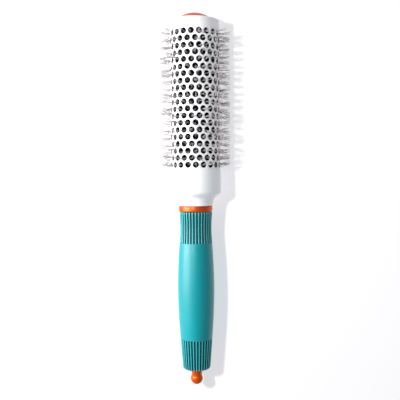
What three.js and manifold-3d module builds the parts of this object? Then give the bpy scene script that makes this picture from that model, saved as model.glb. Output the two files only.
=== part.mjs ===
// A vented thermal round brush, 262 mm long, with a 35 mm perforated metal barrel and 50 mm across its bristles.
//
// It lies level, as it does on a bench before the handle drops: the brush's axis runs along +Y, with the handle
// towards -Y and the dome-ended barrel towards +Y. +Z is up, and z = 0 is the level of the lowest bristle tips.
// All lengths are millimetres. Along the axis, places are given as t, with t = 0 in the neck of the collar.
//
// A tie rod clamps the stack together: the nut under the orange button pulls the end cap, the barrel and the
// bristle carrier down onto the collar, and an anchor nut holds the rod's other end in the handle core. Moulded
// bristle strips slide into the carrier's slots, and each one sends a bristle through one vent of every row.
// The ball on the handle's end is the head of a sectioning pick, which pulls out of a sleeve in the handle.

import * as THREE from "three";
import { mergeVertices } from "three/addons/utils/BufferGeometryUtils.js";
import Module from "manifold-3d";

const wasm = await Module();
wasm.setup();

// ---- Driving dimensions ----

const GAP = 0.3; // clearance between two pieces that seat against each other

const BARREL_RADIUS = 17.5;
const BARREL_WALL = 0.8;
const BARREL_INNER = BARREL_RADIUS - BARREL_WALL;
const TIP_RADIUS = 25.2; // bristle tips, from the axis

const VENTS_AROUND = 20;
const VENT_ROWS = 20;
const VENT_RADIUS = 2.1;
const VENT_ANGLE = (2 * Math.PI) / VENTS_AROUND;
const VENT_TURN = 0.03; // how far the lowest row's first vent is turned from straight up, in radians
const VENT_PITCH = BARREL_RADIUS * VENT_ANGLE; // from one vent to the next, round the barrel
const ROW_PITCH = (VENT_PITCH * Math.sqrt(3)) / 2; // rows of an even triangular pattern
const FIRST_ROW = 24.6;
const LAST_ROW = FIRST_ROW + (VENT_ROWS - 1) * ROW_PITCH;

const COLLAR_RADIUS = 18.2;
const COLLAR_TOP = 21.3;
const COLLAR_SEAT = 13.3; // floor that the barrel and the carrier stand on
const COLLAR_BASE = -3.9;
const NECK_RADIUS = 12.4;

const CAP_SEAM = LAST_ROW + 7.2; // where the barrel ends and the cap's flange begins
const CAP_RIM = CAP_SEAM + 2.7;
const CAP_FLOOR = CAP_RIM - 2;
const BUTTON_RADIUS = 12.5;
const BUTTON_CROWN = 20; // radius of the dome's sphere
const BUTTON_TOP = CAP_RIM + 5.4;

const CARRIER_RADIUS = 14.2;
const CARRIER_BORE = 9.5;
const SLOT_DEPTH = 2;
const SLOT_WIDTH = 3.4;

const RING_RADIUS = 11.8;
const RING_HEIGHT = 3.7;
const GRIP_TOP = COLLAR_BASE - RING_HEIGHT - 2 * GAP;
const GRIP_END = -119.8;
const GRIP_BORE = 9;
const RIBS = 32;
const RIB_DEPTH = 0.75;
const UPPER_RIBS_END = -29.6;
const LOWER_RIBS_START = -98.5;

const CORE_RADIUS = GRIP_BORE - GAP;
const CORE_BORE = 4.9;
const CORE_TOP = 9;
const SPIGOT_RADIUS = 8.1;
const ROD_RADIUS = 2.2;
const ROD_HOLE = ROD_RADIUS + GAP;

const SLEEVE_RADIUS = CORE_BORE - GAP;
const SOCKET_RADIUS = 3.3; // the sleeve's mouth, which takes the knob's plug
const SOCKET_TOP = -111.4;
const PLUG_RADIUS = SOCKET_RADIUS - GAP;
const PIN_RADIUS = 1.4;
const BALL_RADIUS = 4.3;
const BALL_CENTRE = -126.9;
const FOOT_RADIUS = 4.6;

// ---- Materials ----

const finish = (color, roughness, metalness = 0) => new THREE.MeshStandardMaterial({ color, roughness, metalness });
const materials = {
  barrel: finish(0xf4f4f2, 0.35, 0.1),
  whitePlastic: finish(0xf3f3f1, 0.3),
  bristle: finish(0xf1eeec, 0.45),
  carrier: finish(0x15151a, 0.6),
  orangePlastic: finish(0xe86a14, 0.25),
  orangeMetal: finish(0xe06a1c, 0.25, 0.7),
  teal: finish(0x13a0a8, 0.5),
  core: finish(0xd8d8d4, 0.5),
  steel: finish(0xb9bcc0, 0.3, 1),
  rubber: finish(0x1c1c1c, 0.8),
};

// ---- Shapes ----

/** A body of revolution about the brush's axis, from a profile of [radius, t] pairs. A profile that starts off
 * the axis is closed on itself. */
function turned(profile, segments) {
  const onAxis = 1e-6;
  const points = profile.map(([radius, t]) => new THREE.Vector2(radius, t));
  if (points[0].x > onAxis) points.push(points[0].clone());
  return new THREE.LatheGeometry(points, segments);
}

/** Points on an arc of a profile, both ends included, with angles in degrees from the radial direction. */
function arc(radius, t, size, from, to, steps) {
  return Array.from({ length: steps + 1 }, (_, i) => {
    const angle = THREE.MathUtils.degToRad(from + ((to - from) * i) / steps);
    return [radius + size * Math.cos(angle), t + size * Math.sin(angle)];
  });
}

/** A closed geometry from rows of vertices and a list of triangles. */
function meshed(vertices, triangles) {
  const geometry = new THREE.BufferGeometry();
  geometry.setAttribute("position", new THREE.Float32BufferAttribute(vertices.flat(), 3));
  geometry.setIndex(triangles.flat());
  return geometry;
}

function toSolid(geometry) {
  const bare = geometry.clone();
  bare.deleteAttribute("normal");
  bare.deleteAttribute("uv");
  const merged = mergeVertices(bare, 1e-4);
  return new wasm.Manifold(
    new wasm.Mesh({
      numProp: 3,
      vertProperties: merged.attributes.position.array,
      triVerts: new Uint32Array(merged.index.array),
    }),
  );
}

function toGeometry(solid) {
  const mesh = solid.getMesh();
  const geometry = new THREE.BufferGeometry();
  geometry.setAttribute("position", new THREE.BufferAttribute(mesh.vertProperties, 3));
  geometry.setIndex(new THREE.BufferAttribute(mesh.triVerts, 1));
  return geometry;
}

/** A point on a cylinder about the axis, turned by an angle from straight up towards +X. */
const around = (radius, angle, t) => [radius * Math.sin(angle), t, radius * Math.cos(angle)];

// ---- Barrel head ----

/** The perforated tube. Each vent is a hexagon of the round vent's area, with its flats facing its neighbours,
 * so that every web between two vents is one quad and every meeting of three webs is one triangle. */
function barrelTube() {
  const CORNERS = 6;
  const corner = VENT_RADIUS * Math.sqrt((2 * Math.PI) / (3 * Math.sqrt(3)));
  const ends = [COLLAR_SEAT + GAP, CAP_SEAM - GAP];
  const vertices = [];
  const triangles = [];
  const walls = [BARREL_RADIUS, BARREL_INNER].map((radius) => {
    const vents = [];
    for (let row = 0; row < VENT_ROWS; row++) {
      for (let vent = 0; vent < VENTS_AROUND; vent++) {
        const centre = VENT_TURN + (vent + (row % 2) / 2) * VENT_ANGLE;
        for (let i = 0; i < CORNERS; i++) {
          const turn = ((i + 0.5) * Math.PI) / 3;
          const angle = centre + (corner * Math.cos(turn)) / BARREL_RADIUS;
          vents.push(vertices.length);
          vertices.push(around(radius, angle, FIRST_ROW + row * ROW_PITCH + corner * Math.sin(turn)));
        }
      }
    }
    const rims = ends.map((t, end) =>
      Array.from({ length: 2 * VENTS_AROUND }, (_, i) => {
        const shift = end === 1 ? (VENT_ROWS - 1) % 2 : 0;
        vertices.push(around(radius, VENT_TURN + ((i + shift) / 2) * VENT_ANGLE, t));
        return vertices.length - 1;
      }),
    );
    const at = (row, vent, i) =>
      vents[(row * VENTS_AROUND + ((vent + VENTS_AROUND) % VENTS_AROUND)) * CORNERS + i];
    return { at, rims };
  });

  // Each wall's faces, listed as seen from outside and turned round for the inner wall.
  walls.forEach(({ at, rims }, inner) => {
    const face = (...corners) => {
      for (let i = 1; i + 1 < corners.length; i++) {
        const triangle = [corners[0], corners[i], corners[i + 1]];
        triangles.push(inner ? triangle.reverse() : triangle);
      }
    };
    for (let row = 0; row < VENT_ROWS; row++) {
      for (let vent = 0; vent < VENTS_AROUND; vent++) {
        const right = (i) => at(row, vent + 1, i);
        face(at(row, vent, 5), right(3), right(2), at(row, vent, 0));
        if (row + 1 < VENT_ROWS) {
          const aboveRight = (i) => at(row + 1, vent + (row % 2), i);
          const aboveLeft = (i) => at(row + 1, vent + (row % 2) - 1, i);
          face(at(row, vent, 0), aboveRight(4), aboveRight(3), at(row, vent, 1));
          face(at(row, vent, 1), aboveLeft(5), aboveLeft(4), at(row, vent, 2));
          face(at(row, vent, 0), right(2), aboveRight(4));
          face(at(row, vent, 1), aboveRight(3), aboveLeft(5));
        }
      }
    }
    const [low, high] = rims;
    const top = VENT_ROWS - 1;
    for (let vent = 0; vent < VENTS_AROUND; vent++) {
      const below = (i) => low[(2 * vent + i) % low.length];
      face(at(0, vent, 4), below(0), below(1), at(0, vent, 5));
      face(at(0, vent, 5), below(1), at(0, vent + 1, 3));
      face(at(0, vent + 1, 3), below(1), below(2), at(0, vent + 1, 4));
      const above = (i) => high[(2 * vent + i) % high.length];
      face(above(0), at(top, vent, 1), at(top, vent, 0), above(1));
      face(above(1), at(top, vent, 0), at(top, vent + 1, 2));
      face(above(1), at(top, vent + 1, 2), at(top, vent + 1, 1), above(2));
    }
  });

  // The vents' own walls, and the two annular ends.
  const [outer, inner] = walls;
  const quad = (a, b, c, d) => triangles.push([a, b, c], [a, c, d]);
  for (let row = 0; row < VENT_ROWS; row++) {
    for (let vent = 0; vent < VENTS_AROUND; vent++) {
      for (let i = 0; i < CORNERS; i++) {
        const next = (i + 1) % CORNERS;
        quad(outer.at(row, vent, i), outer.at(row, vent, next), inner.at(row, vent, next), inner.at(row, vent, i));
      }
    }
  }
  for (let i = 0; i < 2 * VENTS_AROUND; i++) {
    const next = (i + 1) % (2 * VENTS_AROUND);
    quad(outer.rims[0][next], outer.rims[0][i], inner.rims[0][i], inner.rims[0][next]);
    quad(outer.rims[1][i], outer.rims[1][next], inner.rims[1][next], inner.rims[1][i]);
  }
  return meshed(vertices, triangles);
}

/** The black core inside the barrel, a tube with an open slot for every bristle strip. */
function bristleCarrier() {
  const half = SLOT_WIDTH / 2;
  const shoulder = Math.sqrt(CARRIER_RADIUS ** 2 - half ** 2);
  const floor = CARRIER_RADIUS - SLOT_DEPTH;
  const slot = [
    [-half, shoulder],
    [-half, floor],
    [half, floor],
    [half, shoulder],
  ];
  const centre = new THREE.Vector2();
  const slots = Array.from({ length: VENTS_AROUND }, (_, strip) =>
    slot.map(([x, y]) => new THREE.Vector2(x, y).rotateAround(centre, -stripAngle(strip))),
  );
  const outline = new THREE.Shape(slots.flat());
  outline.holes.push(new THREE.Path().absarc(0, 0, CARRIER_BORE, 0, 2 * Math.PI));
  const bottom = COLLAR_SEAT + GAP;
  const depth = CAP_FLOOR - 2.6 - GAP - bottom;
  const geometry = new THREE.ExtrudeGeometry(outline, { depth, bevelEnabled: false, curveSegments: 24 });
  return geometry.rotateX(Math.PI / 2).translate(0, bottom + depth, 0);
}

/** A strip lies midway between the vents that it feeds in even rows and those in odd rows. */
const stripAngle = (strip) => VENT_TURN + (strip + 0.25) * VENT_ANGLE;

/** One moulded strip, above the axis: a backbone with a bristle for each row, set by turns to either side so
 * that it comes through its vent. */
function bristleStrip() {
  const lean = 0.18 * VENT_ANGLE;
  const height = SLOT_DEPTH - GAP;
  const base = CARRIER_RADIUS - SLOT_DEPTH + GAP;
  const length = LAST_ROW - FIRST_ROW + 4;
  const backbone = new THREE.BoxGeometry(SLOT_WIDTH - 2 * GAP, length, height);
  backbone.translate(0, (FIRST_ROW + LAST_ROW) / 2, base + height / 2);
  const root = base + height - 0.4;
  const bristles = Array.from({ length: VENT_ROWS }, (_, row) => {
    const bristle = new THREE.ConeGeometry(0.6, TIP_RADIUS - root, 3);
    bristle.rotateX(Math.PI / 2).translate(0, FIRST_ROW + row * ROW_PITCH, (TIP_RADIUS + root) / 2);
    return toSolid(bristle.rotateY(row % 2 ? lean : -lean));
  });
  return toGeometry(bristles.reduce((strip, bristle) => strip.add(bristle), toSolid(backbone)));
}

/** The white end cap: a flange that carries the barrel's line on, a skirt inside the barrel, and a dished seat. */
function endCap() {
  const edge = 1.3;
  const skirt = BARREL_INNER - GAP;
  const ceiling = CAP_FLOOR - 2.6;
  return turned(
    [
      [ROD_HOLE, ceiling],
      [skirt - 1.4, ceiling],
      [skirt - 1.4, CAP_SEAM - 4.5],
      [skirt, CAP_SEAM - 4.5],
      [skirt, CAP_SEAM],
      [BARREL_RADIUS, CAP_SEAM],
      ...arc(BARREL_RADIUS - edge, CAP_RIM - edge, edge, 0, 90, 3),
      [BUTTON_RADIUS + GAP, CAP_RIM],
      [BUTTON_RADIUS + GAP, CAP_FLOOR],
      [ROD_HOLE, CAP_FLOOR],
    ],
    36,
  );
}

/** The orange domed button, a moulded shell that presses into the end cap's seat and hides the nut. */
function endButton() {
  const wall = 1.5;
  const centre = BUTTON_TOP - BUTTON_CROWN;
  const bottom = CAP_FLOOR + GAP;
  const dome = (size, radius) => {
    const from = THREE.MathUtils.radToDeg(Math.acos(radius / size));
    return arc(0, centre, size, from, 90, 5);
  };
  return turned(
    [
      ...dome(BUTTON_CROWN - wall, BUTTON_RADIUS - wall).reverse(),
      [BUTTON_RADIUS - wall, bottom],
      [BUTTON_RADIUS, bottom],
      ...dome(BUTTON_CROWN, BUTTON_RADIUS),
    ],
    32,
  );
}

/** The white collar: a lip round the barrel's end, a seat and spigot for the carrier, and a waisted neck whose
 * bore takes the handle core. */
function collar() {
  const shoulder = 5.2;
  const chamfer = 1.6;
  const throat = 13.6;
  const edge = 0.8;
  return turned(
    [
      [SPIGOT_RADIUS + GAP, COLLAR_BASE],
      [NECK_RADIUS - 0.4, COLLAR_BASE],
      [NECK_RADIUS, COLLAR_BASE + 0.4],
      [NECK_RADIUS + 0.1, COLLAR_BASE + 2.4],
      [throat - 0.7, chamfer - 1.2],
      [throat, chamfer],
      [COLLAR_RADIUS - edge, shoulder - edge],
      ...arc(COLLAR_RADIUS - edge, shoulder, edge, -25, 0, 1),
      [COLLAR_RADIUS, COLLAR_TOP - 0.3],
      [COLLAR_RADIUS - 0.15, COLLAR_TOP],
      [BARREL_RADIUS + GAP, COLLAR_TOP],
      [BARREL_RADIUS + GAP, COLLAR_SEAT],
      [CARRIER_BORE - GAP, COLLAR_SEAT],
      [CARRIER_BORE - GAP, COLLAR_SEAT + 4],
      [ROD_HOLE, COLLAR_SEAT + 4],
      [ROD_HOLE, CORE_TOP + GAP],
      [SPIGOT_RADIUS + GAP, CORE_TOP + GAP],
    ],
    36,
  );
}

// ---- Fasteners ----

const ANCHOR_SEAT = 3; // step in the handle core that the anchor nut pulls against
const NUT_HEIGHT = 3.4;

function tieRod() {
  const bottom = ANCHOR_SEAT - NUT_HEIGHT - 2;
  const top = BUTTON_TOP - 2.3;
  const bevel = 0.4;
  return turned(
    [
      [0, bottom],
      [ROD_RADIUS - bevel, bottom],
      [ROD_RADIUS, bottom + bevel],
      [ROD_RADIUS, top - bevel],
      [ROD_RADIUS - bevel, top],
      [0, top],
    ],
    12,
  );
}

/** A hexagon nut on the rod, standing on t. */
function nut(t) {
  const acrossCorners = 9.1;
  const centre = new THREE.Vector2();
  const corners = Array.from({ length: 6 }, (_, i) =>
    new THREE.Vector2(acrossCorners / 2, 0).rotateAround(centre, (i * Math.PI) / 3),
  );
  const shape = new THREE.Shape(corners);
  shape.holes.push(new THREE.Path().absarc(0, 0, ROD_HOLE, 0, 2 * Math.PI));
  const geometry = new THREE.ExtrudeGeometry(shape, { depth: NUT_HEIGHT, bevelEnabled: false, curveSegments: 12 });
  return geometry.rotateX(-Math.PI / 2).translate(0, t, 0);
}

const WASHER_HEIGHT = 0.8;

function washer(t) {
  return turned(
    [
      [ROD_HOLE, t],
      [5.5, t],
      [5.5, t + WASHER_HEIGHT],
      [ROD_HOLE, t + WASHER_HEIGHT],
    ],
    20,
  );
}

// ---- Handle ----

function accentRing() {
  const bottom = GRIP_TOP + GAP;
  const top = COLLAR_BASE - GAP;
  const edge = 0.35;
  return turned(
    [
      [SPIGOT_RADIUS + GAP, bottom],
      [RING_RADIUS - edge, bottom],
      [RING_RADIUS, bottom + edge],
      [RING_RADIUS, top - edge],
      [RING_RADIUS - edge, top],
      [SPIGOT_RADIUS + GAP, top],
    ],
    36,
  );
}

/** The rigid tube that the grip is moulded over, with a spigot for the collar and a pocket for the anchor nut. */
function handleCore() {
  const end = GRIP_END + 2.7;
  return turned(
    [
      [ROD_HOLE, CORE_TOP],
      [ROD_HOLE, ANCHOR_SEAT],
      [CORE_BORE, ANCHOR_SEAT],
      [CORE_BORE, end],
      [CORE_RADIUS, end],
      [CORE_RADIUS, GRIP_TOP],
      [SPIGOT_RADIUS, GRIP_TOP],
      [SPIGOT_RADIUS, CORE_TOP],
    ],
    24,
  );
}

/** The grip's outline: full under the ring, waisted among the upper ribs, swelling in the palm, and tapering to
 * the end. */
const gripOutline = new THREE.SplineCurve(
  [
    [11.6, GRIP_TOP],
    [11.0, -20.5],
    [12.2, -40],
    [12.85, -62],
    [12.3, -83],
    [11.15, -100.5],
    [9.6, GRIP_END],
  ].map(([radius, t]) => new THREE.Vector2(radius, t)),
);

function gripRadius(t) {
  const points = gripOutline.getPoints(200);
  const below = Math.max(1, points.findIndex((point) => point.y <= t));
  const [a, b] = [points[below - 1], points[below]];
  return THREE.MathUtils.mapLinear(t, a.y, b.y, a.x, b.x);
}

/** The teal grip: a sleeve whose skin has a groove at every second corner in the two ribbed bands. */
function handleGrip() {
  const corners = 2 * RIBS;
  const rings = [
    ...[GRIP_BORE, CORE_BORE].map((radius) => ({ radius, t: GRIP_END + 2.4, groove: 0 })),
    { radius: CORE_BORE, t: GRIP_END, groove: 0 },
    { radius: gripRadius(GRIP_END + 2) - 2.2, t: GRIP_END, groove: 0 },
    { radius: gripRadius(GRIP_END + 2) - 0.5, t: GRIP_END + 0.6, groove: 0.4 },
  ];
  const skin = (t, groove) => rings.push({ radius: gripRadius(t), t, groove });
  skin(GRIP_END + 2, 1);
  skin(-108, 1);
  skin(LOWER_RIBS_START - 0.6, 1);
  skin(LOWER_RIBS_START, 0);
  for (const t of [-88, -75, -62, -50, -39]) skin(t, 0);
  skin(UPPER_RIBS_END, 0);
  skin(UPPER_RIBS_END + 0.6, 1);
  skin(-20.5, 1);
  skin(GRIP_TOP - 0.5, 1);
  rings.push({ radius: gripRadius(GRIP_TOP) - 0.5, t: GRIP_TOP, groove: 0.4 });
  rings.push({ radius: GRIP_BORE, t: GRIP_TOP, groove: 0 });

  const vertices = [];
  const triangles = [];
  rings.forEach(({ radius, t, groove }) => {
    for (let i = 0; i < corners; i++) {
      const depth = i % 2 ? groove * RIB_DEPTH : 0;
      vertices.push(around(radius - depth, (i * Math.PI) / RIBS, t));
    }
  });
  rings.forEach((_, ring) => {
    const next = (ring + 1) % rings.length;
    for (let i = 0; i < corners; i++) {
      const j = (i + 1) % corners;
      const [a, b, c, d] = [ring * corners + i, ring * corners + j, next * corners + j, next * corners + i];
      triangles.push([a, b, c], [a, c, d]);
    }
  });
  return meshed(vertices, triangles);
}

/** The guide for the pick: a narrow bore for the pin, and a wider socket for the knob's plug at its mouth. */
function pickSleeve() {
  const bore = PIN_RADIUS + GAP;
  return turned(
    [
      [bore, -16],
      [bore, SOCKET_TOP],
      [SOCKET_RADIUS, SOCKET_TOP],
      [SOCKET_RADIUS, GRIP_END],
      [SLEEVE_RADIUS, GRIP_END],
      [SLEEVE_RADIUS, -16],
    ],
    20,
  );
}

// ---- Sectioning pick ----

const PLUG_TOP = SOCKET_TOP - GAP;
const PIN_SEAT = PLUG_TOP - 4.4; // bottom of the hole that the pin is moulded into
const GROOVE = { radius: 1.9, top: -117.2, bottom: -118.9 };

/** The knob: a grooved plug for the socket, a flared foot, a neck and a ball. */
function pickKnob() {
  const foot = GRIP_END - GAP;
  const neck = { radius: 3.5, t: -123.7 };
  const ballTop = 90 - THREE.MathUtils.radToDeg(Math.asin(neck.radius / BALL_RADIUS));
  return turned(
    [
      ...arc(0, BALL_CENTRE, BALL_RADIUS, -90, ballTop, 8),
      [neck.radius, neck.t],
      [FOOT_RADIUS, foot - 1.1],
      [FOOT_RADIUS, foot],
      [PLUG_RADIUS, foot],
      [PLUG_RADIUS, GROOVE.bottom],
      [GROOVE.radius, GROOVE.bottom],
      [GROOVE.radius, GROOVE.top],
      [PLUG_RADIUS, GROOVE.top],
      [PLUG_RADIUS, PLUG_TOP],
      [PIN_RADIUS + GAP, PLUG_TOP],
      [PIN_RADIUS + GAP, PIN_SEAT],
      [0, PIN_SEAT],
    ],
    24,
  );
}

function pickPin() {
  return turned(
    [
      [0, PIN_SEAT + GAP],
      [PIN_RADIUS, PIN_SEAT + GAP],
      [PIN_RADIUS, -45],
      [0.6, -25],
      [0.3, -24.2],
      [0, -24],
    ],
    12,
  );
}

function pickORing() {
  const section = 0.4;
  const geometry = new THREE.TorusGeometry(GROOVE.radius + GAP + section, section, 5, 14);
  return geometry.rotateX(Math.PI / 2).translate(0, (GROOVE.top + GROOVE.bottom) / 2, 0);
}

// ---- Assembly ----

const brush = new THREE.Group();
brush.position.set(0, -(BUTTON_TOP + BALL_CENTRE - BALL_RADIUS) / 2, TIP_RADIUS);

function place(name, geometry, material, turn = 0) {
  const mesh = new THREE.Mesh(geometry, material);
  mesh.name = name;
  mesh.rotation.y = turn;
  brush.add(mesh);
}

place("barrel_tube", barrelTube(), materials.barrel);
place("bristle_carrier", bristleCarrier(), materials.carrier);
const strip = bristleStrip();
for (let i = 0; i < VENTS_AROUND; i++) {
  place(`bristle_strip_${String(i + 1).padStart(2, "0")}`, strip, materials.bristle, stripAngle(i));
}
place("end_cap", endCap(), materials.whitePlastic);
place("end_button", endButton(), materials.orangePlastic);
place("collar", collar(), materials.whitePlastic);

place("tie_rod", tieRod(), materials.steel);
place("cap_washer", washer(CAP_FLOOR + GAP), materials.steel);
place("cap_nut", nut(CAP_FLOOR + 2 * GAP + WASHER_HEIGHT), materials.steel);
place("anchor_nut", nut(ANCHOR_SEAT - GAP - NUT_HEIGHT), materials.steel);

place("accent_ring", accentRing(), materials.orangeMetal);
place("handle_core", handleCore(), materials.core);
place("handle_grip", handleGrip(), materials.teal);
place("pick_sleeve", pickSleeve(), materials.core);

place("pick_knob", pickKnob(), materials.orangePlastic);
place("pick_pin", pickPin(), materials.steel);
place("pick_o_ring", pickORing(), materials.rubber);

export default brush;
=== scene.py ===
"""Looks for the round barrel brush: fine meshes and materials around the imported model."""

import functools
import math
import random

import bmesh
import bpy
from mathutils import Matrix, Vector


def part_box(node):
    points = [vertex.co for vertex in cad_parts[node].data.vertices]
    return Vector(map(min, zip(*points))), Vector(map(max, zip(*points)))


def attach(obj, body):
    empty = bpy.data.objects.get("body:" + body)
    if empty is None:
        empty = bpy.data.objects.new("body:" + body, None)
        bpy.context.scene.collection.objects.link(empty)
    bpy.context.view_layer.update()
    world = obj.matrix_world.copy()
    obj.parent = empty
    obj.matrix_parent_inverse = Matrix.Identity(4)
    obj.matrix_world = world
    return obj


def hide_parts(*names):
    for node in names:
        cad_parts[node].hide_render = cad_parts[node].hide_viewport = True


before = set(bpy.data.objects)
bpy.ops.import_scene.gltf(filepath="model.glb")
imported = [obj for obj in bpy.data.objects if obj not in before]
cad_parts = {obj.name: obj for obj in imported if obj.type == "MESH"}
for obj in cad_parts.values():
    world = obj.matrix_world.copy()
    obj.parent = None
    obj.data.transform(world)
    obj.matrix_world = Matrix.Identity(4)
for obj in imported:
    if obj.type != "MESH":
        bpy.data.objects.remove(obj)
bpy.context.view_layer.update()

MM = 0.001
TURN = 2 * math.pi

# ---- Places and sizes read from the frame ----

AXIS_Z = sum(corner.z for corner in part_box("handle_core")) / 2


@functools.cache
def span(node):
    """The two ends of a node along the brush's axis, the handle's side first."""
    low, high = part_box(node)
    return low.y, high.y


@functools.cache
def radii(node):
    """The least and greatest distance of a node's vertices from the brush's axis."""
    found = [math.hypot(v.co.x, v.co.z - AXIS_Z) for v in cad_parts[node].data.vertices]
    return min(found), max(found)


BARREL_INNER, BARREL_RADIUS = radii("barrel_tube")
BARREL_START, BARREL_END = span("barrel_tube")
GAP = 0.3 * MM  # clearance between two pieces that meet
SEAM = BARREL_END + GAP  # where the end cap's flange begins
STRIPS = sorted(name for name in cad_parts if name.startswith("bristle_strip"))
TIP_RADIUS = max(radii(name)[1] for name in STRIPS)

VENTS_AROUND = len(STRIPS)
VENT_ROWS = 20
VENT_ANGLE = TURN / VENTS_AROUND
VENT_TURN = 0.03  # turn of the lowest row's first vent from straight up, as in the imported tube
VENT_RADIUS = 2.08 * MM
BACKBONE_MARGIN = 2 * MM  # how far a strip's base runs past its outermost bristles
BASE_DEPTH = 1.7 * MM  # of a strip's base, from its root to its top
FILAMENTS = (2, 4, 5, 6, 8)  # how many come through a vent
FIRST_ROW = span(STRIPS[0])[0] + BACKBONE_MARGIN
LAST_ROW = span(STRIPS[0])[1] - BACKBONE_MARGIN
ROW_PITCH = (LAST_ROW - FIRST_ROW) / (VENT_ROWS - 1)

RIBS = 32
CORE_RADIUS = 8.3 * MM  # of the handle's core inside the grip
BALL_RADIUS = max(
    math.hypot(v.co.x, v.co.z - AXIS_Z)
    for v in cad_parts["pick_knob"].data.vertices
    if v.co.y < span("pick_knob")[0] + 5 * MM
)


def around(radius, angle, y):
    """A point about the brush's axis, turned by an angle from straight up towards +X."""
    return Vector((radius * math.sin(angle), y, AXIS_Z + radius * math.cos(angle)))


def around_side(angle):
    """The direction round the axis, square to the radius at that angle."""
    return Vector((math.cos(angle), 0, -math.sin(angle)))


# ---- Mesh helpers ----


def mesh_object(name, vertices, faces, sharp_degrees=35):
    """A smooth-shaded object with its doubled vertices merged and its faces turned outwards."""
    mesh = bpy.data.meshes.new(name)
    mesh.from_pydata([tuple(v) for v in vertices], [], faces)
    bm = bmesh.new()
    bm.from_mesh(mesh)
    bmesh.ops.remove_doubles(bm, verts=bm.verts, dist=1e-7)
    bmesh.ops.recalc_face_normals(bm, faces=bm.faces)
    bm.to_mesh(mesh)
    bm.free()
    mesh.shade_smooth()
    mesh.set_sharp_from_angle(angle=math.radians(sharp_degrees))
    piece = bpy.data.objects.new(name, mesh)
    bpy.context.scene.collection.objects.link(piece)
    return piece


def join(faces, rings):
    """Adds the faces between each ring of vertices and the next."""
    for a, b in zip(rings, rings[1:]):
        for i in range(len(a)):
            j = (i + 1) % len(a)
            faces.append((a[i], a[j], b[j], b[i]))


def turned(name, profile, segments=96):
    """A body of revolution about the brush's axis from (radius, y) pairs. One that starts off the axis is
    closed on itself."""
    closed = profile[0][0] > 1e-9
    vertices = []
    rings = []
    for radius, y in profile:
        if radius < 1e-9:
            rings.append([len(vertices)] * segments)
            vertices.append(around(0, 0, y))
        else:
            rings.append(list(range(len(vertices), len(vertices) + segments)))
            vertices += [around(radius, TURN * i / segments, y) for i in range(segments)]
    faces = []
    for k in range(len(rings) if closed else len(rings) - 1):
        a, b = rings[k], rings[(k + 1) % len(rings)]
        for i in range(segments):
            j = (i + 1) % segments
            face = list(dict.fromkeys([a[i], a[j], b[j], b[i]]))
            if len(face) > 2:
                faces.append(face)
    return mesh_object(name, vertices, faces)


def rounded(profile, radius, steps=4):
    """The (radius, y) outline with some corners rounded off. A corner's third value, where it has one, is its
    share of the given radius."""
    longest = 0.49  # share of a side that a rounded corner may take, so that two never meet
    points = []
    count = len(profile)
    for k, point in enumerate(profile):
        corner = Vector(point[:2])
        share = point[2] if len(point) > 2 else 0
        if not share:
            points.append(tuple(corner))
            continue
        before = Vector(profile[k - 1][:2]) - corner
        after = Vector(profile[(k + 1) % count][:2]) - corner
        size = min(radius * share, before.length * longest, after.length * longest)
        start = corner + before.normalized() * size
        end = corner + after.normalized() * size
        for i in range(steps + 1):
            w = i / steps
            points.append(tuple(start * (1 - w) ** 2 + corner * 2 * w * (1 - w) + end * w**2))
    return points


def arc(radius, y, size, start, end, steps):
    """(radius, y) points on an arc, with angles in degrees from the radial direction."""
    angles = [math.radians(start + (end - start) * i / steps) for i in range(steps + 1)]
    return [(max(0.0, radius + size * math.cos(a)), y + size * math.sin(a)) for a in angles]


def smoothstep(value):
    """Eases from 0 to 1 while the value goes from 0 to 1."""
    w = min(1.0, max(0.0, value))
    return w * w * (3 - 2 * w)


def place(piece, material, body, slot, *nodes):
    """Gives a piece its material and its body, and hides the CAD nodes that it stands for. The slot is not
    used.
    """
    piece.data.materials.clear()
    piece.data.materials.append(material)
    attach(piece, body)
    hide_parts(*nodes)
    return piece


# ---- Materials ----


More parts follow.
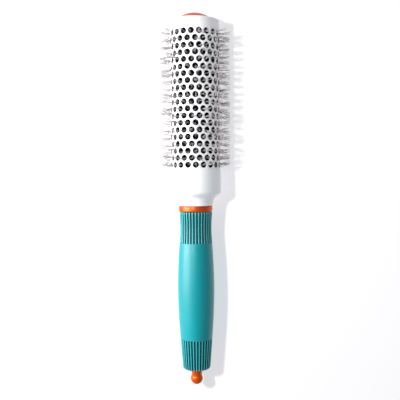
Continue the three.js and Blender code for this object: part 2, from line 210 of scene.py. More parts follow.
class Look:
    """A principled material whose colour, roughness and bump vary over the surface."""

    def __init__(self, name, color, roughness, **sockets):
        self.material = bpy.data.materials.new(name)
        self.material.use_nodes = True
        self.nodes = self.material.node_tree.nodes
        self.links = self.material.node_tree.links
        self.shader = self.nodes["Principled BSDF"]
        self.shader.inputs["Base Color"].default_value = (*color, 1)
        self.shader.inputs["Roughness"].default_value = roughness
        for socket, value in sockets.items():
            self.shader.inputs[socket.replace("_", " ")].default_value = value
        self.coordinates = self.nodes.new("ShaderNodeTexCoord").outputs["Object"]
        self.color = color
        self.roughness = roughness
        self.color_output = None

    def noise(self, size, detail=3.0, stretch=(1, 1, 1)):
        """Noise whose features are about size metres across, squeezed by stretch along each direction."""
        mapping = self.nodes.new("ShaderNodeMapping")
        mapping.inputs["Scale"].default_value = stretch
        self.links.new(self.coordinates, mapping.inputs["Vector"])
        texture = self.nodes.new("ShaderNodeTexNoise")
        texture.inputs["Scale"].default_value = 1 / size
        texture.inputs["Detail"].default_value = detail
        self.links.new(mapping.outputs["Vector"], texture.inputs["Vector"])
        return texture.outputs["Fac"]

    def ramp(self, value, low, high, to_low=0.0, to_high=1.0):
        """Carries the range from low to high of a value over to another range."""
        node = self.nodes.new("ShaderNodeMapRange")
        node.inputs["From Min"].default_value = low
        node.inputs["From Max"].default_value = high
        node.inputs["To Min"].default_value = to_low
        node.inputs["To Max"].default_value = to_high
        self.links.new(value, node.inputs["Value"])
        return node.outputs["Result"]

    def blend_color(self, factor, color):
        """Mixes the colour so far with another one by a factor that varies over the surface."""
        mix = self.nodes.new("ShaderNodeMix")
        mix.data_type = "RGBA"
        self.links.new(factor, mix.inputs["Factor"])
        if self.color_output is None:
            mix.inputs["A"].default_value = (*self.color, 1)
        else:
            self.links.new(self.color_output, mix.inputs["A"])
        mix.inputs["B"].default_value = (*color, 1)
        self.color_output = mix.outputs["Result"]
        self.links.new(self.color_output, self.shader.inputs["Base Color"])
        return self

    def vary_roughness(self, size, amount, stretch=(1, 1, 1)):
        """Lets the roughness go up and down by an amount, in patches about size metres across."""
        least, most = self.roughness - amount, self.roughness + amount
        value = self.ramp(self.noise(size, 4.0, stretch), 0.3, 0.7, least, most)
        self.links.new(value, self.shader.inputs["Roughness"])
        return self

    def bump(self, height, depth):
        """Raises the surface by up to depth metres where the height value is 1."""
        node = self.nodes.new("ShaderNodeBump")
        node.inputs["Distance"].default_value = depth
        node.inputs["Strength"].default_value = 1.0
        self.links.new(height, node.inputs["Height"])
        self.links.new(node.outputs["Normal"], self.shader.inputs["Normal"])
        return self

    def axis_distance(self, low, high):
        """Goes from 0 to 1 between two distances from the brush's axis."""
        flat = self.nodes.new("ShaderNodeVectorMath")
        flat.operation = "SUBTRACT"
        flat.inputs[1].default_value = (0, 0, AXIS_Z)
        self.links.new(self.coordinates, flat.inputs[0])
        across = self.nodes.new("ShaderNodeVectorMath")
        across.operation = "MULTIPLY"
        across.inputs[1].default_value = (1, 0, 1)
        self.links.new(flat.outputs["Vector"], across.inputs[0])
        length = self.nodes.new("ShaderNodeVectorMath")
        length.operation = "LENGTH"
        self.links.new(across.outputs["Vector"], length.inputs[0])
        return self.ramp(length.outputs["Value"], low, high)

    def edges(self, low, high):
        """How convex the surface is, from 0 on flats to 1 on edges."""
        return self.ramp(self.nodes.new("ShaderNodeNewGeometry").outputs["Pointiness"], low, high)


def ceramic():
    """The barrel's white coat with faint grey specks, and painted shade that makes the tube's inside near
    black.
    """
    look = Look("ceramic_coat", (0.87, 0.875, 0.88), 0.34, Coat_Weight=0.25, Coat_Roughness=0.2)
    look.blend_color(look.ramp(look.noise(9 * MM), 0.35, 0.75, 0, 0.5), (0.84, 0.85, 0.865))
    look.blend_color(look.ramp(look.noise(0.5 * MM, 1), 0.68, 0.74, 0, 0.12), (0.6, 0.6, 0.6))
    # painted shade: below the outer surface the coat turns near black, standing for the shade inside the tube
    painted_shade_inside = look.axis_distance(BARREL_RADIUS - 0.3 * MM, BARREL_RADIUS - 0.5 * MM)
    look.blend_color(painted_shade_inside, (0.006, 0.006, 0.007))
    look.vary_roughness(1.5 * MM, 0.07)
    return look.bump(look.noise(0.35 * MM), 0.012 * MM).material


def white_plastic():
    """The cap's and the collar's glossy white."""
    look = Look("white_plastic", (0.86, 0.87, 0.885), 0.24, Coat_Weight=0.15, Coat_Roughness=0.1)
    look.blend_color(look.ramp(look.noise(14 * MM), 0.35, 0.75, 0, 0.6), (0.83, 0.845, 0.87))
    look.vary_roughness(3 * MM, 0.05)
    return look.bump(look.noise(0.8 * MM), 0.01 * MM).material


def nylon():
    """The filaments: pale, a little clear, and greyer in places."""
    look = Look("nylon", (0.62, 0.57, 0.58), 0.3, Transmission_Weight=0.1, IOR=1.53)
    look.shader.inputs["Specular IOR Level"].default_value = 0.5
    look.blend_color(look.ramp(look.noise(3 * MM), 0.35, 0.7, 0, 1), (0.30, 0.27, 0.28))
    look.vary_roughness(1 * MM, 0.08)
    return look.bump(look.noise(0.2 * MM), 0.01 * MM).material


def black_plastic():
    """The dull black of the carrier and of the strips' bases."""
    look = Look("black_plastic", (0.004, 0.004, 0.005), 0.7, Specular_IOR_Level=0.1)
    look.blend_color(look.ramp(look.noise(4 * MM), 0.4, 0.7, 0, 0.7), (0.008, 0.008, 0.01))
    look.vary_roughness(1 * MM, 0.1)
    return look.bump(look.noise(0.3 * MM), 0.02 * MM).material


def orange_plastic():
    """The button's and the ball's pearly orange, with a warm highlight."""
    look = Look("orange_plastic", (0.62, 0.085, 0.004), 0.32, Metallic=0.35)
    look.shader.inputs["Specular Tint"].default_value = (1, 0.55, 0.2, 1)
    look.blend_color(look.ramp(look.noise(6 * MM), 0.35, 0.75, 0, 0.6), (0.54, 0.06, 0.003))
    look.vary_roughness(1.5 * MM, 0.05)
    return look.bump(look.noise(0.6 * MM), 0.008 * MM).material


def orange_metal():
    """The anodised ring, with its grain round the brush and paler edges."""
    look = Look("anodised_orange", (0.64, 0.06, 0.008), 0.34, Metallic=0.4, Specular_IOR_Level=1.0)
    look.shader.inputs["Specular Tint"].default_value = (1, 0.72, 0.2, 1)
    grain = look.noise(0.25 * MM, 2, (1, 12, 1))
    look.blend_color(look.ramp(grain, 0.35, 0.75, 0, 0.5), (0.50, 0.035, 0.005))
    look.blend_color(look.edges(0.53, 0.6), (0.85, 0.3, 0.07))
    look.vary_roughness(0.4 * MM, 0.08, (1, 10, 1))
    return look.bump(grain, 0.01 * MM).material


def soft_teal():
    """The grip's rubber, with painted shade darkening it down in the grooves, and paler on the ribs' edges.
    """
    look = Look("soft_teal", (0.0005, 0.25, 0.28), 0.36, Specular_IOR_Level=0.42)
    look.blend_color(look.ramp(look.noise(16 * MM), 0.35, 0.75, 0, 0.5), (0.0015, 0.225, 0.255))
    # painted shade: the deeper the groove at a point, the darker the teal
    groove = look.nodes.new("ShaderNodeAttribute")
    groove.attribute_name = "groove"
    look.blend_color(look.ramp(groove.outputs["Fac"], 0.05, 0.5, 0, 0.93), (0.0005, 0.028, 0.034))
    look.blend_color(look.edges(0.51, 0.58), (0.08, 0.5, 0.52))
    look.vary_roughness(2.5 * MM, 0.05)
    return look.bump(look.noise(0.22 * MM, 2), 0.03 * MM).material


def core_plastic():
    """The plain grey plastic inside the handle."""
    look = Look("core_plastic", (0.55, 0.55, 0.53), 0.5)
    look.blend_color(look.ramp(look.noise(5 * MM), 0.35, 0.75, 0, 0.7), (0.48, 0.48, 0.47))
    look.vary_roughness(1.5 * MM, 0.08)
    return look.bump(look.noise(0.5 * MM), 0.02 * MM).material


def steel():
    """Bright steel with its grain along the axis."""
    look = Look("bright_steel", (0.62, 0.62, 0.63), 0.25, Metallic=1.0)
    grain = look.noise(0.12 * MM, 3, (1, 0.04, 1))
    look.blend_color(look.ramp(grain, 0.35, 0.7, 0, 0.6), (0.48, 0.48, 0.5))
    look.vary_roughness(0.3 * MM, 0.1, (1, 0.1, 1))
    return look.bump(grain, 0.006 * MM).material


def black_rubber():
    """The O-ring's rubber."""
    look = Look("black_rubber", (0.014, 0.014, 0.014), 0.65)
    look.blend_color(look.ramp(look.noise(0.8 * MM), 0.4, 0.7, 0, 0.8), (0.03, 0.03, 0.03))
    look.vary_roughness(0.4 * MM, 0.1)
    return look.bump(look.noise(0.1 * MM), 0.01 * MM).material


# ---- Barrel head ----


def barrel():
    """The perforated tube with round vents. Each vent has a small rolled edge and stands in a six-sided cell.
    The cells of the first and last row have a flat side towards the tube's end."""
    per_side = 4
    edge = 0.16 * MM
    roll = edge * 0.3
    cell_radius = BARREL_RADIUS * VENT_ANGLE / math.sqrt(3)
    end_side = cell_radius * 0.49  # a cell's outline past this y is one of its two end sides
    border = 3.1 * MM  # from the outermost row's middle to the flat side
    corners = [Vector((math.sin(TURN * i / 6), math.cos(TURN * i / 6))) * cell_radius for i in range(6)]
    rim = []
    for i in range(6 * per_side):
        side, step = divmod(i, per_side)
        rim.append(corners[side].lerp(corners[(side + 1) % 6], step / per_side))
    circle = [p.normalized() for p in rim]

    vertices = []
    faces = []

    def ring(points, radius, centre_angle, centre_y):
        start = len(vertices)
        for p in points:
            vertices.append(around(radius, centre_angle + p.x / BARREL_RADIUS, centre_y + p.y))
        return range(start, start + len(points))

    for row in range(VENT_ROWS):
        y = FIRST_ROW + row * ROW_PITCH
        outline = []
        for p in rim:
            flat = p.copy()
            if row == 0 and p.y < -end_side:
                flat.y = -border
            if row == VENT_ROWS - 1 and p.y > end_side:
                flat.y = border
            outline.append(flat)
        for vent in range(VENTS_AROUND):
            angle = VENT_TURN + (vent + (row % 2) / 2) * VENT_ANGLE
            rings = [
                ring(outline, BARREL_RADIUS, angle, y),
                ring([p * (VENT_RADIUS + edge) for p in circle], BARREL_RADIUS, angle, y),
                ring([p * (VENT_RADIUS + roll) for p in circle], BARREL_RADIUS - roll, angle, y),
                ring([p * VENT_RADIUS for p in circle], BARREL_RADIUS - edge, angle, y),
                ring([p * VENT_RADIUS for p in circle], BARREL_INNER, angle, y),
                ring(outline, BARREL_INNER, angle, y),
            ]
            join(faces, rings)

    # The plain bands from the pattern to the tube's two ends, with the vertices of the outermost cells.
    low_x = sorted({round(p.x, 9) for p in rim if p.y < -end_side})[:-1]
    for row, y_edge, y_end in (
        (0, FIRST_ROW - border, BARREL_START),
        (VENT_ROWS - 1, LAST_ROW + border, SEAM - 0.03 * MM),
    ):
        angles = [
            VENT_TURN + (vent + (row % 2) / 2) * VENT_ANGLE + x / BARREL_RADIUS
            for vent in range(VENTS_AROUND)
            for x in low_x
        ]
        loops = []
        for radius, y in (
            (BARREL_RADIUS, y_edge),
            (BARREL_RADIUS, y_end),
            (BARREL_INNER, y_end),
            (BARREL_INNER, y_edge),
        ):
            loops.append(range(len(vertices), len(vertices) + len(angles)))
            vertices += [around(radius, angle, y) for angle in angles]
        join(faces, loops)
    return mesh_object("barrel", vertices, faces, 50)


def filament(vertices, faces, points, radii_along, sides=5):
    """Adds a thin round tube along points, closed at both ends."""
    rings = []
    for k, (point, radius) in enumerate(zip(points, radii_along)):
        tangent = (points[min(k + 1, len(points) - 1)] - points[max(k - 1, 0)]).normalized()
        across = tangent.cross(Vector((0, 1, 0))).normalized()
        other = tangent.cross(across)
        start = len(vertices)
        for i in range(sides):
            a = TURN * i / sides
            vertices.append(point + (across * math.cos(a) + other * math.sin(a)) * radius)
        rings.append(range(start, start + sides))
    join(faces, rings)
    faces.append(tuple(rings[0]))
    faces.append(tuple(reversed(rings[-1])))


def strip_angle(index):
    """The middle of a strip, half way between its vents in the odd rows and in the even rows."""
    return VENT_TURN + (index + 0.25) * VENT_ANGLE


def strip_base(index):
    """The black base of one strip: a bar with bevelled shoulders and ends, in the carrier's slot."""
    angle = strip_angle(index)
    root_radius = radii(STRIPS[index])[0]
    top_radius = root_radius + BASE_DEPTH
    width = 2.7 * MM
    y0, y1 = FIRST_ROW - BACKBONE_MARGIN, LAST_ROW + BACKBONE_MARGIN
    bevel = 0.35 * MM
    narrowing = 0.8  # share of the width at the two ends
    vertices = []
    faces = []
    section = [
        (-width / 2, root_radius),
        (-width / 2, top_radius - bevel),
        (-width / 2 + bevel, top_radius),
        (width / 2 - bevel, top_radius),
        (width / 2, top_radius - bevel),
        (width / 2, root_radius),
    ]
    loops = []
    for y, shrink in ((y0, narrowing), (y0 + bevel, 1), (y1 - bevel, 1), (y1, narrowing)):
        loops.append(range(len(vertices), len(vertices) + len(section)))
        for across, up in section:
            vertices.append(around(up, angle, y) + around_side(angle) * across * shrink)
    join(faces, loops)
    faces.append(tuple(loops[0]))
    faces.append(tuple(reversed(loops[-1])))
    return mesh_object(f"strip_base_{index + 1:02d}", vertices, faces)


def bristles(index, chance):
    """The filaments of one strip, a few through each of its vents."""
    angle = strip_angle(index)
    base = radii(STRIPS[index])[0] + BASE_DEPTH
    vertices = []
    faces = []
    for row in range(VENT_ROWS):
        side = 1 if row % 2 else -1
        vent_angle = angle + side * 0.25 * VENT_ANGLE
        root_angle = angle + side * 0.2 * VENT_ANGLE
        y = FIRST_ROW + row * ROW_PITCH
        root = around(base - 0.3 * MM, root_angle, y)
        tuft(vertices, faces, chance, root, vent_angle, y)
    return mesh_object(f"bristles_{index + 1:02d}", vertices, faces, 60)


def tuft(vertices, faces, chance, root, vent_angle, y):
    """The filaments through one vent. They leave it close together and lean much the same way."""
    root_spread = 0.5  # this and the next four lines are in millimetres
    exit_spread = 0.6
    lean_spread = 0.6
    tip_spread_side, tip_spread_along = 1.0, 1.1
    least_short, most_short = 0.1, 1.0  # how far inside the tips' circle a filament may end
    out = Vector((math.sin(vent_angle), 0, math.cos(vent_angle)))
    side = around_side(vent_angle)
    along = Vector((0, 1, 0))
    turn = chance.uniform(0, TURN)
    reach = (VENT_RADIUS - 0.8 * MM) * math.sqrt(chance.random())  # from the vent's middle
    middle_side, middle_along = reach * math.cos(turn), reach * math.sin(turn)
    lean_side = middle_side * 0.5 + chance.gauss(0, lean_spread) * MM
    lean_along = middle_along * 0.5 + chance.gauss(0, lean_spread) * MM
    vent = around(BARREL_RADIUS, vent_angle, y)
    for _ in range(chance.choice(FILAMENTS)):
        start = root + side * chance.uniform(-root_spread, root_spread) * MM
        start += along * chance.uniform(-root_spread, root_spread) * MM
        exit_side = middle_side + chance.uniform(-exit_spread, exit_spread) * MM
        exit_along = middle_along + chance.uniform(-exit_spread, exit_spread) * MM
        through = vent + side * exit_side + along * exit_along
        length = TIP_RADIUS - BARREL_RADIUS - chance.uniform(least_short, most_short) * MM
        tip = through + out * length
        tip += side * (lean_side + chance.gauss(0, tip_spread_side) * MM)
        tip += along * (lean_along + chance.gauss(0, tip_spread_along) * MM)
        strand(vertices, faces, chance, (start, through, tip), side)


def strand(vertices, faces, chance, ends, side):
    """One filament from its root through its vent to its tip, with a slight crimp of its own."""
    farthest = TIP_RADIUS - 0.1 * MM
    crimp_side, crimp_along = 0.2, 0.26  # spreads in millimetres
    root, through, tip = ends
    offset = Vector((tip.x, 0, tip.z - AXIS_Z))
    if offset.length > farthest:
        tip = Vector((0, tip.y, AXIS_Z)) + offset.normalized() * farthest
    crimp = side * chance.gauss(0, crimp_side) * MM + Vector((0, chance.gauss(0, crimp_along), 0)) * MM
    points = [root, root.lerp(through, 0.5), through]
    for k in range(1, 6):
        w = k / 5
        points.append(through.lerp(tip, w) + crimp * math.sin(w * 2.2 * math.pi) * (1 - 0.3 * w))
    thick = chance.uniform(0.11, 0.15) * MM
    shares = [1.15, 1.1, 1.0, 0.98, 0.95, 0.9, 0.85, 0.55]  # of that radius, from the root to the tip
    filament(vertices, faces, points, [thick * s for s in shares])


def bristle_carrier():
    """The black slotted core, with a foot between every two slots."""
    inner, outer = radii("bristle_carrier")
    y0, y1 = span("bristle_carrier")
    depth = 2.0 * MM
    slot_half = 1.7 * MM
    bevel = 0.25 * MM
    ring = []
    for strip in range(VENTS_AROUND):
        centre = strip_angle(strip)
        shape = [
            (-slot_half - bevel, 0),
            (-slot_half, bevel),
            (-slot_half, depth),
            (slot_half, depth),
            (slot_half, bevel),
            (slot_half + bevel, 0),
        ]
        for across, down in shape:
            up = math.sqrt(outer**2 - across**2) - down
            ring.append(around(up, centre, 0) + around_side(centre) * across)
    count = len(ring)
    vertices = []
    for y in (y0, y1):
        vertices += [p + Vector((0, y, 0)) for p in ring]
        vertices += [around(inner, math.atan2(p.x, p.z - AXIS_Z), y) for p in ring]
    low_out, low_in, high_out, high_in = 0, count, 2 * count, 3 * count
    faces = []
    for i in range(count):
        j = (i + 1) % count
        faces.append((low_out + i, low_out + j, high_out + j, high_out + i))
        faces.append((low_in + j, low_in + i, high_in + i, high_in + j))
        faces.append((low_out + j, low_out + i, low_in + i, low_in + j))
        faces.append((high_out + i, high_out + j, high_in + j, high_in + i))
    return mesh_object("carrier_core", vertices, faces)


def end_cap():
    """The white cap: a rim flush with the barrel, a floor under the button and a skirt inside the barrel."""
    bore = radii("end_cap")[0]
    y0, y1 = span("end_cap")
    seat = radii("end_button")[1] + GAP
    top = span("end_button")[0] - GAP
    underside = top - 2.6 * MM
    skirt = BARREL_INNER - GAP
    skirt_inner = skirt - 1.4 * MM
    profile = [
        (bore, underside),
        (skirt_inner, underside),
        (skirt_inner, y0),
        (skirt, y0, 0.4),
        (skirt, SEAM),
        (BARREL_RADIUS, SEAM, 0.05),
        (BARREL_RADIUS, y1, 1.6),
        (seat, y1, 0.3),
        (seat, top),
        (bore, top),
    ]
    return turned("end_cap_white", rounded(profile, 1 * MM, 6))


def end_button():
    """The domed button, a shell with a small step round its foot."""
    radius = radii("end_button")[1]
    y0, y1 = span("end_button")
    crown = 20 * MM
    wall = 1.5 * MM
    step = 0.5 * MM
    centre = y1 - crown
    half = math.degrees(math.acos((radius - step) / crown))
    inner_half = math.degrees(math.acos((radius - wall) / (crown - wall)))
    shoulder = centre + crown * math.sin(math.radians(half))
    profile = (
        arc(0, centre, crown - wall, 90, inner_half, 10)
        + [(radius - wall, y0), (radius, y0), (radius, shoulder - 0.7 * MM)]
        + arc(radius - step, shoulder - 0.6 * MM, step, 0, 55, 4)
        + arc(0, centre, crown, half, 90, 16)
    )
    return turned("button_dome", profile)


def collar():
    """The white cup with its waisted neck, and the hub inside that centres the carrier."""
    bore, radius = radii("collar")
    y0, y1 = span("collar")
    core_top = span("handle_core")[1] + GAP
    seat = BARREL_START - GAP
    cup = BARREL_RADIUS + GAP
    hub = radii("bristle_carrier")[0] - GAP
    hub_top = seat + 4 * MM
    neck = 12.4 * MM
    throat = 13.6 * MM
    nose = 8.4 * MM
    profile = [
        (nose, y0),
        (neck, y0, 0.5),
        (neck + 0.05 * MM, y0 + 2.4 * MM, 1.2),
        (throat - 0.5 * MM, y0 + 4.4 * MM, 1.2),
        (throat, y0 + 5.6 * MM, 0.8),
        (radius, y0 + 9.0 * MM, 1.5),
        (radius, y1, 0.35),
        (cup, y1, 0.2),
        (cup, seat),
        (hub, seat),
        (hub, hub_top),
        (bore, hub_top),
        (bore, core_top),
        (nose, core_top),
    ]
    return turned("collar_white", rounded(profile, 1 * MM, 6))


# ---- Handle ----


def accent_ring():
    """The metal band, a little fuller in its middle."""
    bore, radius = radii("accent_ring")
    y0, y1 = span("accent_ring")
    swell = 0.12 * MM
    profile = [
        (bore, y0),
        (radius, y0, 0.5),
        (radius + swell, (y0 + y1) / 2, 2),
        (radius, y1, 0.5),
        (bore, y1),
    ]
    return turned("ring_orange", rounded(profile, 1 * MM, 6))


def grip_outline(y):
    """The grip's outer radius: a spline through its full top, waist, palm swell and tapered end."""
    end, top = span("handle_grip")
    knots = [  # (share of the way from the top to the end, radius in millimetres)
        (0, 11.6),
        (0.11, 11.0),
        (0.285, 12.2),
        (0.48, 12.85),
        (0.665, 12.3),
        (0.822, 11.15),
        (1.0, 9.65),
    ]
    place_along = (top - y) / (top - end)
    k = max(i for i in range(len(knots) - 1) if i == 0 or knots[i][0] <= place_along)
    (x1, r1), (x2, r2) = knots[k], knots[k + 1]
    x0, r0 = knots[k - 1] if k else (2 * x1 - x2, 2 * r1 - r2)
    x3, r3 = knots[k + 2] if k + 2 < len(knots) else (2 * x2 - x1, 2 * r2 - r1)
    w = (place_along - x1) / (x2 - x1)
    slope1 = (r2 - r0) / (x2 - x0) * (x2 - x1)
    slope2 = (r3 - r1) / (x3 - x1) * (x2 - x1)
    radius = (
        r1 * (2 * w**3 - 3 * w**2 + 1)
        + slope1 * (w**3 - 2 * w**2 + w)
        + r2 * (3 * w**2 - 2 * w**3)
        + slope2 * (w**3 - w**2)
    )
    return radius * MM


def grip():
    """The ribbed grip. A groove is a rounded trough between two ribs, and has a round end where it runs out
    into the smooth palm."""
    end, top = span("handle_grip")
    bore = radii("handle_grip")[0]
    wide_bore = CORE_RADIUS + 0.25 * MM
    bore_step = end + 2.4 * MM  # the wide bore ends here
    upper_end = top - 21.4 * MM  # of the upper ribs
    lower_start = end + 21.3 * MM  # of the lower ribs
    half_width = 0.7 * MM
    depth = 1.0 * MM
    samples = 12
    segments = RIBS * samples

    def trough(y, i):
        """How deep the surface lies below the outline, at a height and a place round the grip."""
        across = ((i % samples) / samples - 0.5) * TURN / RIBS * grip_outline(y)
        past = max(0.0, min(y - lower_start, upper_end - y))
        reach = math.hypot(across, past) / half_width
        return depth * smoothstep(1.25 - reach * 1.1) if reach < 1.2 else 0.0

    def levels(start, stop, step):
        """Evenly spaced heights about a step apart, without the last one."""
        count = max(1, round(abs(stop - start) / step))
        return [start + (stop - start) * k / count for k in range(count)]

    edge = 1.5 * MM  # height of the rounded end
    into_ribs, into_palm = 0.4 * MM, 1.0 * MM  # reach of the close levels about the grooves' ends
    close, along_ribs, along_palm = 0.14 * MM, 1.2 * MM, 2 * MM
    ys = (
        levels(top - edge * 0.4, upper_end + into_ribs, along_ribs)
        + levels(upper_end + into_ribs, upper_end - into_palm, close)
        + levels(upper_end - into_palm, lower_start + into_palm, along_palm)
        + levels(lower_start + into_palm, lower_start - into_ribs, close)
        + levels(lower_start - into_ribs, end + edge, along_ribs)
        + [end + edge]
    )
    rings = [[(bore, bore_step)] * segments]
    rings.append([(wide_bore, bore_step)] * segments)
    rings.append([(wide_bore, top)] * segments)
    for inset, y in ((0.8 * MM, top), (0.3 * MM, top - 0.1 * MM), (0.08 * MM, top - 0.3 * MM)):
        rings.append([(grip_outline(y) - inset - trough(y, i) * 0.9, y) for i in range(segments)])
    for y in ys:
        rings.append([(grip_outline(y) - trough(y, i), y) for i in range(segments)])
    shoulder = grip_outline(end + edge)
    for degrees in (20, 40, 60, 80):
        a = math.radians(degrees)
        y = end + edge * (1 - math.sin(a))
        inset = 2.2 * MM * (1 - math.cos(a))
        share = math.cos(a)
        rings.append([(shoulder - inset - trough(end + edge, i) * share, y) for i in range(segments)])
    rings.append([(shoulder - 2.6 * MM, end)] * segments)
    rings.append([(bore, end)] * segments)

    vertices = []
    shades = []
    faces = []
    for ring in rings:
        vertices += [around(radius, TURN * i / segments, y) for i, (radius, y) in enumerate(ring)]
        shades += [trough(y, i) / depth for i, (_, y) in enumerate(ring)]
    loops = [range(k * segments, (k + 1) * segments) for k in range(len(rings))]
    join(faces, loops + loops[:1])
    piece = mesh_object("grip_teal", vertices, faces, 60)
    # each vertex's groove depth, which the grip's material turns into painted shade
    groove = piece.data.attributes.new("groove", "FLOAT", "POINT")
    groove.data.foreach_set("value", shades)
    return piece


def pick_sleeve():
    """The pick's guide: a bore for the pin and a wider socket for the knob's plug."""
    bore, radius = radii("pick_sleeve")
    y0, y1 = span("pick_sleeve")
    socket = 3.3 * MM
    socket_top = y0 + 8.4 * MM
    profile = [
        (bore, y1, 0.3),
        (bore, socket_top, 0.3),
        (socket, socket_top, 0.3),
        (socket, y0, 0.35),
        (radius, y0, 0.3),
        (radius, y1, 0.3),
    ]
    return turned("sleeve_liner", rounded(profile, 1 * MM), 64)


def handle_core():
    """The tube inside the grip, with the spigot for the collar and the pocket for the nut."""
    bore = radii("handle_core")[0]
    y0, y1 = span("handle_core")
    spigot = 8.1 * MM
    grip_top = span("handle_grip")[1]
    pocket = radii("handle_grip")[0]
    seat = span("anchor_nut")[1] + GAP
    profile = [
        (bore, y1, 0.3),
        (bore, seat),
        (pocket, seat),
        (pocket, y0, 0.3),
        (CORE_RADIUS, y0, 0.3),
        (CORE_RADIUS, grip_top, 0.3),
        (spigot, grip_top),
        (spigot, y1, 0.8),
    ]
    return turned("core_tube", rounded(profile, 1 * MM), 64)


# ---- Fasteners ----


def tie_rod():
    """The steel rod with a thread on both ends, made as rings and not as a helix."""
    radius = radii("tie_rod")[1]
    y0, y1 = span("tie_rod")
    pitch = 0.7 * MM
    thread_depth = 0.3 * MM
    threaded = 12 * MM
    chamfer = 0.5 * MM

    def thread(start, stop):
        points = []
        for k in range(int((stop - start) / pitch)):
            y = start + k * pitch
            points += [(radius - thread_depth, y), (radius, y + pitch * 0.4), (radius, y + pitch * 0.6)]
        return points

    profile = (
        [(0, y0), (radius - chamfer, y0)]
        + thread(y0 + chamfer, y0 + threaded)
        + [(radius, y0 + threaded), (radius, y1 - threaded)]
        + thread(y1 - threaded, y1 - chamfer)
        + [(radius - chamfer, y1), (0, y1)]
    )
    return turned("rod_threaded", profile, 32)


def nut(name, node):
    """A hexagon nut with its corners turned down at both faces."""
    bore, corner = radii(node)
    y0, y1 = span(node)
    flat = corner * math.cos(math.pi / 6)
    steps = 8
    count = 6 * steps
    chamfer = 0.45 * MM
    rings = []
    for y, shrink in ((y0, chamfer), (y0 + chamfer * 0.6, 0), (y1 - chamfer * 0.6, 0), (y1, chamfer)):
        ring = []
        for i in range(count):
            a = TURN * i / count
            inside = (a + math.pi / 6) % (math.pi / 3) - math.pi / 6
            hexagon = flat / math.cos(math.pi / 6 - abs(inside))
            ring.append(around(min(hexagon, corner - shrink), a + math.pi / 2, y))
        rings.append(ring)
    for y in (y1, y0):
        rings.append([around(bore, TURN * i / count + math.pi / 2, y) for i in range(count)])
    vertices = [p for ring in rings for p in ring]
    faces = []
    loops = [range(k * count, (k + 1) * count) for k in range(len(rings))]
    join(faces, loops + loops[:1])
    return mesh_object(name, vertices, faces, 25)


def washer():
    """The flat steel washer under the nut in the cap."""
    bore, radius = radii("cap_washer")
    y0, y1 = span("cap_washer")
    profile = [(bore, y0, 0.1), (radius, y0, 0.2), (radius, y1, 0.2), (bore, y1, 0.1)]
    return turned("washer_steel", rounded(profile, 1 * MM), 64)


# ---- Sectioning pick ----


def pick_knob():
    """The ball, its neck and flared foot, and the grooved plug behind it."""
    y0, y1 = span("pick_knob")
    plug = 3.0 * MM
    groove = radii("pick_o_ring")[0] - GAP
    groove_y0 = span("pick_o_ring")[0] - 0.4 * MM
    groove_y1 = span("pick_o_ring")[1] + 0.4 * MM
    foot_y = span("handle_grip")[0] - GAP
    foot = 4.6 * MM
    centre = y0 + BALL_RADIUS
    neck = 3.5 * MM
    meet = math.degrees(math.acos(neck / BALL_RADIUS))
    hole = radii("pick_pin")[1] + GAP
    pin_seat = span("pick_pin")[0] - GAP
    neck_y = centre + BALL_RADIUS * math.sin(math.radians(meet))
    flare = [
        (neck + (foot - neck) * (1 - math.cos(w * math.pi / 2)), neck_y + (foot_y - 0.5 * MM - neck_y) * w)
        for w in (0.12, 0.3, 0.5, 0.7, 0.85, 1.0)
    ]
    stem = [
        (foot, foot_y - 0.3 * MM),
        (foot, foot_y, 0.2),
        (plug, foot_y),
        (plug, groove_y0, 0.15),
        (groove, groove_y0),
        (groove, groove_y1),
        (plug, groove_y1, 0.15),
        (plug, y1, 0.4),
        (hole, y1),
        (hole, pin_seat),
        (0, pin_seat),
    ]
    return turned("knob_ball", arc(0, centre, BALL_RADIUS, -90, meet, 28) + flare + rounded(stem, 1 * MM))


def pick_pin():
    """The steel pin with a chamfered root, a long taper and a rounded tip."""
    radius = radii("pick_pin")[1]
    y0, y1 = span("pick_pin")
    chamfer = 0.2 * MM
    taper = 21 * MM
    tip = 0.4 * MM
    steps = 10
    profile = (
        [(0, y0), (radius - chamfer, y0), (radius, y0 + chamfer)]
        + [
            (radius + (tip - radius) * smoothstep(k / steps) ** 0.9, y1 - taper + (taper - tip) * k / steps)
            for k in range(steps + 1)
        ]
        + arc(0, y1 - tip, tip, 20, 90, 6)
    )
    return turned("pin_steel", profile, 48)


def pick_o_ring():
    """The round rubber ring. The outline's last side closes its circle."""
    inner, outer = radii("pick_o_ring")
    y0, y1 = span("pick_o_ring")
    size = (y1 - y0) / 2
    profile = arc((inner + outer) / 2, (y0 + y1) / 2, size, 0, 345, 23)
    return turned("o_ring_rubber", profile, 64)


# ---- The object ----

white = white_plastic()
orange = orange_plastic()
bright = steel()
core = core_plastic()
black = black_plastic()
strands = nylon()
chance = random.Random(7)  # the same filaments in every run

place(barrel(), ceramic(), "brush", "ceramic_white", "barrel_tube")
place(bristle_carrier(), black, "brush", "carrier_black", "bristle_carrier")
for index, node in enumerate(STRIPS):
    place(strip_base(index), black, "brush", "carrier_black", node)
    place(bristles(index, chance), strands, "brush", "bristle_nylon", node)
place(end_cap(), white, "brush", "white_plastic", "end_cap")
place(end_button(), orange, "brush", "orange_plastic", "end_button")
place(collar(), white, "brush", "white_plastic", "collar")

place(tie_rod(), bright, "brush", "steel", "tie_rod")
place(washer(), bright, "brush", "steel", "cap_washer")
place(nut("nut_under_button", "cap_nut"), bright, "brush", "steel", "cap_nut")
place(nut("nut_in_handle", "anchor_nut"), bright, "brush", "steel", "anchor_nut")

place(accent_ring(), orange_metal(), "brush", "orange_metal", "accent_ring")
place(handle_core(), core, "brush", "core_plastic", "handle_core")
place(grip(), soft_teal(), "brush", "teal_rubber", "handle_grip")
place(pick_sleeve(), core, "brush", "core_plastic", "pick_sleeve")

place(pick_knob(), orange, "pick", "orange_plastic", "pick_knob")
place(pick_pin(), bright, "pick", "steel", "pick_pin")
place(pick_o_ring(), black_rubber(), "pick", "black_rubber", "pick_o_ring")

# ---- Floor, light and camera ----


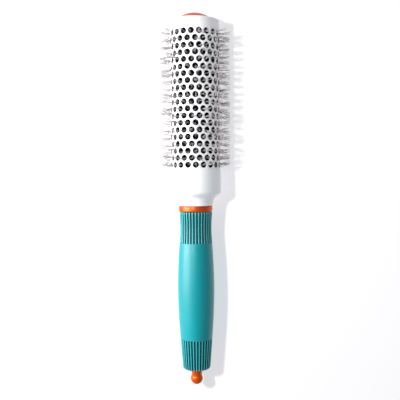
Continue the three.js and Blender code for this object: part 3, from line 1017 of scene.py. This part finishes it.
def floor():
    """The white paper under the brush. It glows a little, so that it comes out as white as in the photo."""
    half = 4.0  # metres
    cells = 8
    glow = 0.48
    vertices = [
        (-half + 2 * half * i / cells, -half + 2 * half * j / cells, 0)
        for j in range(cells + 1)
        for i in range(cells + 1)
    ]
    row = cells + 1
    faces = [
        (j * row + i, j * row + i + 1, (j + 1) * row + i + 1, (j + 1) * row + i)
        for j in range(cells)
        for i in range(cells)
    ]
    piece = mesh_object("floor", vertices, faces)
    look = Look("paper", (0.93, 0.93, 0.935), 0.9, Specular_IOR_Level=0.0)
    look.blend_color(look.ramp(look.noise(0.3), 0.35, 0.7), (0.92, 0.92, 0.925))
    look.shader.inputs["Emission Color"].default_value = (1.0, 0.965, 0.985, 1)
    look.shader.inputs["Emission Strength"].default_value = glow
    piece.data.materials.append(look.material)
    return piece


def sky(color, strength):
    """One even light from all round."""
    world = bpy.data.worlds.new("studio")
    world.use_nodes = True
    background = world.node_tree.nodes["Background"]
    background.inputs["Color"].default_value = (*color, 1)
    background.inputs["Strength"].default_value = strength
    bpy.context.scene.world = world


def lamp(name, kind, place_at, aim_at, energy, color, size):
    """A lamp of so many watts. The size is a radius for a point lamp and two sides for a softbox."""
    data = bpy.data.lights.new(name, kind)
    data.energy = energy
    data.color = color
    if kind == "AREA":
        data.shape = "RECTANGLE"
        data.size, data.size_y = size
    else:
        data.shadow_soft_size = size
    piece = bpy.data.objects.new(name, data)
    piece.location = place_at
    piece.rotation_mode = "QUATERNION"
    piece.rotation_quaternion = (Vector(aim_at) - Vector(place_at)).to_track_quat("-Z", "Y")
    bpy.context.scene.collection.objects.link(piece)
    return piece


def spare(light, piece):
    """Keeps a light off one piece."""
    dark = bpy.data.collections.new("unlit_by_" + light.name)
    dark.objects.link(piece)
    dark.collection_objects[0].light_linking.link_state = "EXCLUDE"
    light.light_linking.receiver_collection = dark


paper = floor()
sky((0.88, 0.94, 1.0), 0.3)
middle = Vector((0, 0, AXIS_Z))
KEY_PLACE = (-0.162, 0.072, 0.475)  # as high as the camera: the shadow looks as large as the brush
KEY_WATTS = 4.7
SOFTBOX_PLACE = (-0.85, 0.08, 0.42)
SOFTBOX_WATTS = 19
SOFTBOX_SIZE = (0.5, 0.9)
lamp("key", "POINT", KEY_PLACE, middle, KEY_WATTS, (1.0, 0.99, 0.98), 15 * MM)
softbox = lamp("softbox", "AREA", SOFTBOX_PLACE, middle, SOFTBOX_WATTS, (1, 1, 1), SOFTBOX_SIZE)
spare(softbox, paper)


def camera():
    """Looks down on the brush from a place a little towards the barrel's end, rolled by less than a degree.
    The brush stands a little left of the middle."""
    distance = 0.45
    tilt = math.radians(2.2)
    roll = math.radians(0.39)
    shift = 3.1 * MM
    neck_y = span("collar")[0] + 3.9 * MM
    target = Vector((shift, neck_y, AXIS_Z))
    back = Vector((0, math.sin(tilt), math.cos(tilt)))
    right = Vector((1, 0, 0))
    up = back.cross(right)
    turn = Matrix((right, up, back)).transposed() @ Matrix.Rotation(-roll, 3, "Z")
    data = bpy.data.cameras.new("camera")
    data.sensor_width = 36
    data.lens = 57.4
    data.clip_start = 0.01
    piece = bpy.data.objects.new("camera", data)
    piece.matrix_world = Matrix.Translation(target + back * distance) @ turn.to_4x4()
    bpy.context.scene.collection.objects.link(piece)
    bpy.context.scene.camera = piece


camera()
bpy.context.scene.view_settings.view_transform = "Standard"
